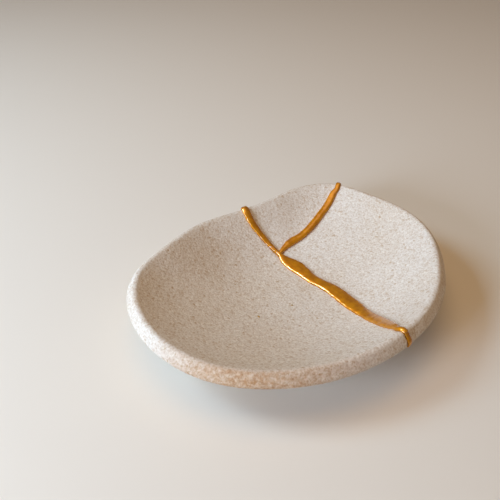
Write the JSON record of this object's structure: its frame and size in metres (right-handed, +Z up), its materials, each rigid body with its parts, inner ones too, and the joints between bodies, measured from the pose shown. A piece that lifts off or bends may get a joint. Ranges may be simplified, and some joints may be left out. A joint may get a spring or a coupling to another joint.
{
  "type": "kintsugi bowl",
  "caption": "Shallow open dish of coarse stoneware, broken and mended along its cracks with raised gold seams; holds small things and is shown on a table.",
  "frame": {"origin": "on the table, under the middle of the dish's plan box", "axes": "+Z up; +Y away from the viewer of the picture, +X to that viewer's right"},
  "size_m": [0.1617, 0.1588, 0.031],
  "materials": {
    "stoneware": "dry, sandy and unglazed, pinkish grey white with fine tan specks",
    "gold": "burnished gold powder on lacquer, glossy, deep orange yellow"
  },
  "bodies": {
    "root": {"shard_front": "stoneware", "shard_back": "stoneware", "shard_right": "stoneware", "gold_seam": "gold"}
  },
  "joints": []
}
